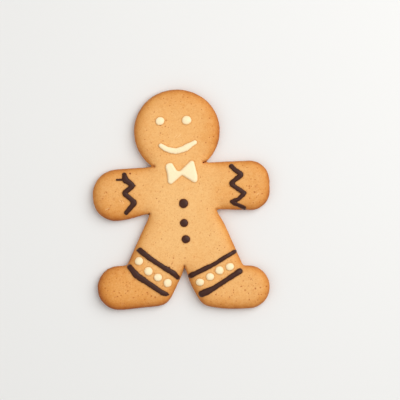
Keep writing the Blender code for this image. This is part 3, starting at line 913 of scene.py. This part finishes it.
# The dark icing is chocolate icing, softer than the white: three buttons down the body, a zigzag
# on each arm and two bands round each leg. It sets with a satin skin, is ragged where the hand
# shook or stopped, and shows reddish brown where it thins out at the edge.
BUTTONS = (
    ("button_1", 0.9, -1.6, 5.0, 5.1, 0), ("button_2", 0.6, -12.1, 4.5, 4.4, 0),
    ("button_3", 1.1, -20.8, 4.6, 4.3, -10),
)
ZIGZAG_BEND = 0.9 * MM
BAND_BEND = 5.0 * MM
DARK_WAVER = 0.5 * MM
ZIGZAG_LEFT = [
    [(-30.15, 15.6, 2.35), (-29.6, 12.7, 3.5), (-25.6, 9.35, 2.85), (-30.85, 5.55, 2.8), (-27.6, 2.65, 2.8),
     (-25.35, 0.15, 3.15), (-30.1, -5.0, 2.4)],
    [(-34.2, 13.0, 1.1), (-30.4, 12.85, 1.3)],
    [(-29.8, 12.0, 2.4), (-29.9, 11.5, 1.8)],
    [(-25.6, 9.3, 1.8), (-24.8, 9.3, 1.1)],
]
ZIGZAG_RIGHT = [
    [(27.65, 17.0, 2.9), (29.5, 14.95, 2.35), (33.05, 12.35, 2.95), (26.5, 7.75, 2.35), (33.9, 2.2, 2.6),
     (30.4, -0.9, 2.15), (25.9, -2.1, 2.3), (31.1, -4.4, 2.0), (33.4, -5.7, 2.15)],
    [(33.3, 2.3, 2.4), (33.9, 2.3, 2.2)],
    [(28.0, -2.0, 2.2), (26.9, -2.0, 2.25)],
    [(28.0, 8.0, 2.4), (27.4, 7.8, 2.5)],
]
BAND_LEFT_UPPER = [
    [(-23.8, -25.6, 3.3), (-18.4, -30.4, 2.8), (-11.8, -35.2, 2.7), (-6.4, -38.8, 2.9), (-4.3, -41.1, 2.5)],
    [(-24.4, -25.8, 2.0), (-25.3, -25.5, 1.0)],
    [(-9.2, -36.3, 2.2), (-8.8, -35.7, 1.2)],
    [(-4.4, -41.0, 1.9), (-3.7, -41.6, 1.2)],
]
BAND_LEFT_LOWER = [
    [(-29.8, -34.2, 3.0), (-26.2, -39.0, 3.5), (-19.2, -44.2, 2.9), (-13.6, -48.5, 2.7), (-10.9, -49.8, 2.3)],
    [(-13.0, -48.9, 2.9), (-12.2, -49.2, 2.7)],
    [(-10.9, -49.8, 1.9), (-9.9, -50.1, 1.1)],
]
BAND_RIGHT_UPPER = [
    [(2.6, -40.6, 2.9), (7.0, -38.7, 2.6), (11.2, -36.9, 2.7), (15.3, -35.2, 2.2), (21.5, -31.7, 2.5),
     (27.0, -28.9, 2.2)],
]
BAND_RIGHT_LOWER = [
    [(8.1, -50.6, 3.6), (10.85, -49.65, 3.75), (14.4, -48.1, 3.0), (21.3, -44.1, 2.7), (29.1, -39.5, 3.3)],
]

dark_icing = icing_finish("dark_icing", paint(62, 32, 22), paint(96, 42, 16), 0.5, 0.06, 1.6)
for name, x, y, length, width, turn in BUTTONS:
    pipe_drop(name, x, y, length, width, turn, dark_icing)
for name, strokes, bend in (
    ("zigzag_left", ZIGZAG_LEFT, ZIGZAG_BEND), ("zigzag_right", ZIGZAG_RIGHT, ZIGZAG_BEND),
    ("band_left_upper", BAND_LEFT_UPPER, BAND_BEND), ("band_left_lower", BAND_LEFT_LOWER, BAND_BEND),
    ("band_right_upper", BAND_RIGHT_UPPER, BAND_BEND), ("band_right_lower", BAND_RIGHT_LOWER, BAND_BEND),
):
    pipe_line(name, strokes, bend, DARK_WAVER, dark_icing)


# Where the icing meets the crust, each piece of it has a slightly darker edge round it: partly a thin line of
# fat and colour that soaked out into the biscuit while the icing dried, partly painted contact shadow.
HALO_REACH = 0.75 * MM
foot_tree = tree_of([Vector((x, y, 0)) for x, y in icing_feet])
stain_and_shade_share = np.zeros(len(crust_spots))
for number, (x, y, z) in enumerate(crust_spots):
    if crust_normals[number, 2] > UPPER_SIDE:
        stain_and_shade_share[number] = max(0.0, 1 - foot_tree.find((x, y, 0))[2] / HALO_REACH)
keep(crust_mesh, "touch", stain_and_shade_share)


# The table, the light and the camera. The biscuit lies on a plain pale table under one large
# soft light from the upper right and an even pale room, and the camera looks straight down.
TABLE_SIZE = 6.0
TABLE_DROP = 0.05 * MM
CAMERA_PLACE = (9.81 * MM, -0.2 * MM, 2005 * MM)
CAMERA_TURN = -3.0
VIEW_WIDTH = 215.2 * MM
VIEW_DISTANCE = 2000 * MM
SENSOR = 36.0

table_mesh = bpy.data.meshes.new("table")
half_table = TABLE_SIZE / 2
table_mesh.from_pydata(
    [(-half_table, -half_table, -TABLE_DROP), (half_table, -half_table, -TABLE_DROP),
     (half_table, half_table, -TABLE_DROP), (-half_table, half_table, -TABLE_DROP)],
    [], [(0, 1, 2, 3)],
)
table = bpy.data.objects.new("table", table_mesh)
bpy.context.scene.collection.objects.link(table)
table_finish, grow = new_finish("pale_table")
surface = grow.node("ShaderNodeBsdfPrincipled", {}, {
    "Base Color": (0.80, 0.80, 0.79, 1.0), "Roughness": 0.8, "Specular IOR Level": 0.2,
})
grow.node("ShaderNodeOutputMaterial", {}, {"Surface": surface})
table_mesh.materials.append(table_finish)

world = bpy.data.worlds.new("room")
world.use_nodes = True
world.node_tree.nodes["Background"].inputs["Color"].default_value = (1.0, 0.985, 0.96, 1.0)
world.node_tree.nodes["Background"].inputs["Strength"].default_value = 0.460
bpy.context.scene.world = world


def soft_light(name, place, size, power):
    lamp = bpy.data.lights.new(name, "AREA")
    lamp.size = size
    lamp.energy = power
    holder = bpy.data.objects.new(name, lamp)
    bpy.context.scene.collection.objects.link(holder)
    holder.location = place
    holder.rotation_euler = (-Vector(place)).to_track_quat("-Z", "Y").to_euler()
    return holder


soft_light("window_light", (0.50, 0.26, 0.72), 0.8, 6.75)
soft_light("fill_light", (-0.5, -0.2, 0.7), 0.8, 1.5)

camera = bpy.data.cameras.new("overhead")
camera.sensor_width = SENSOR
camera.lens = SENSOR * VIEW_DISTANCE / VIEW_WIDTH
camera.clip_start = 0.01
camera_holder = bpy.data.objects.new("overhead", camera)
bpy.context.scene.collection.objects.link(camera_holder)
camera_holder.location = CAMERA_PLACE
camera_holder.rotation_euler = (0.0, 0.0, math.radians(CAMERA_TURN))
bpy.context.scene.camera = camera_holder
bpy.context.scene.view_settings.view_transform = "Standard"
